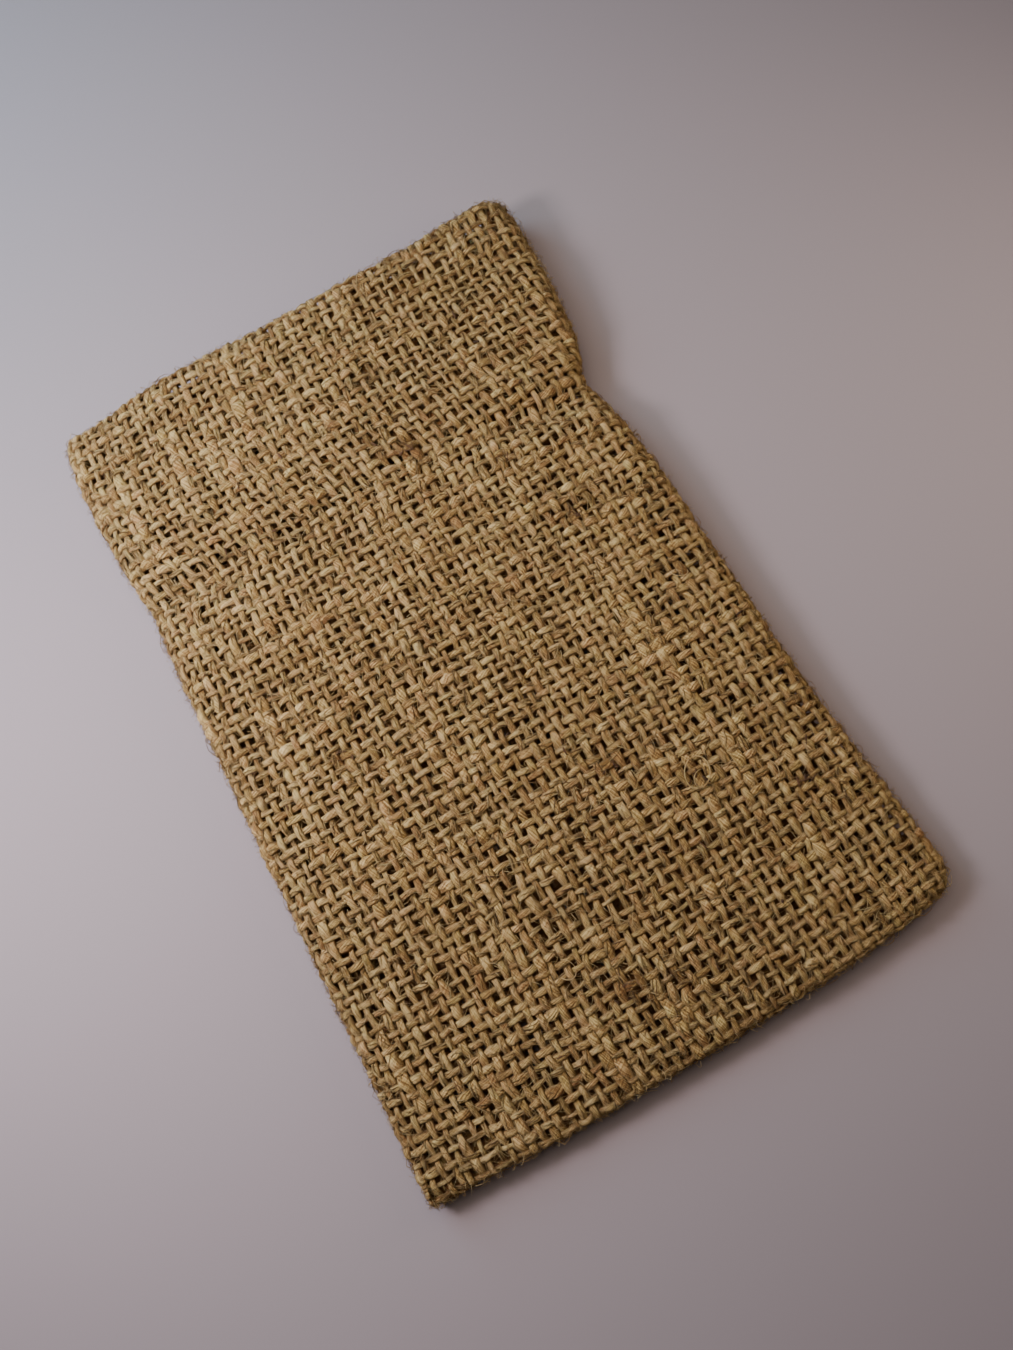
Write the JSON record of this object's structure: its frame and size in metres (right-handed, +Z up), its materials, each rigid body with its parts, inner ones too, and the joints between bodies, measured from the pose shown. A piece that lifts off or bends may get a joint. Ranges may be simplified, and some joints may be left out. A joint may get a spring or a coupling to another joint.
{
  "type": "jute sack",
  "caption": "Small flat pouch of open plain-weave jute, folded on one side, sewn on the other side and across the bottom, with a deep turned-in hem at its open mouth.",
  "frame": {"origin": "middle of the sack's outline, on the surface that it lies on", "axes": "+Y towards the open mouth, +X towards the folded side, +Z up through the front of the sack"},
  "size_m": [0.1016, 0.1576, 0.0099],
  "materials": {
    "jute_cloth": "natural undyed jute, open plain weave, dry and hairy"
  },
  "bodies": {
    "root": {"sack_cloth": "jute_cloth"}
  },
  "joints": []
}
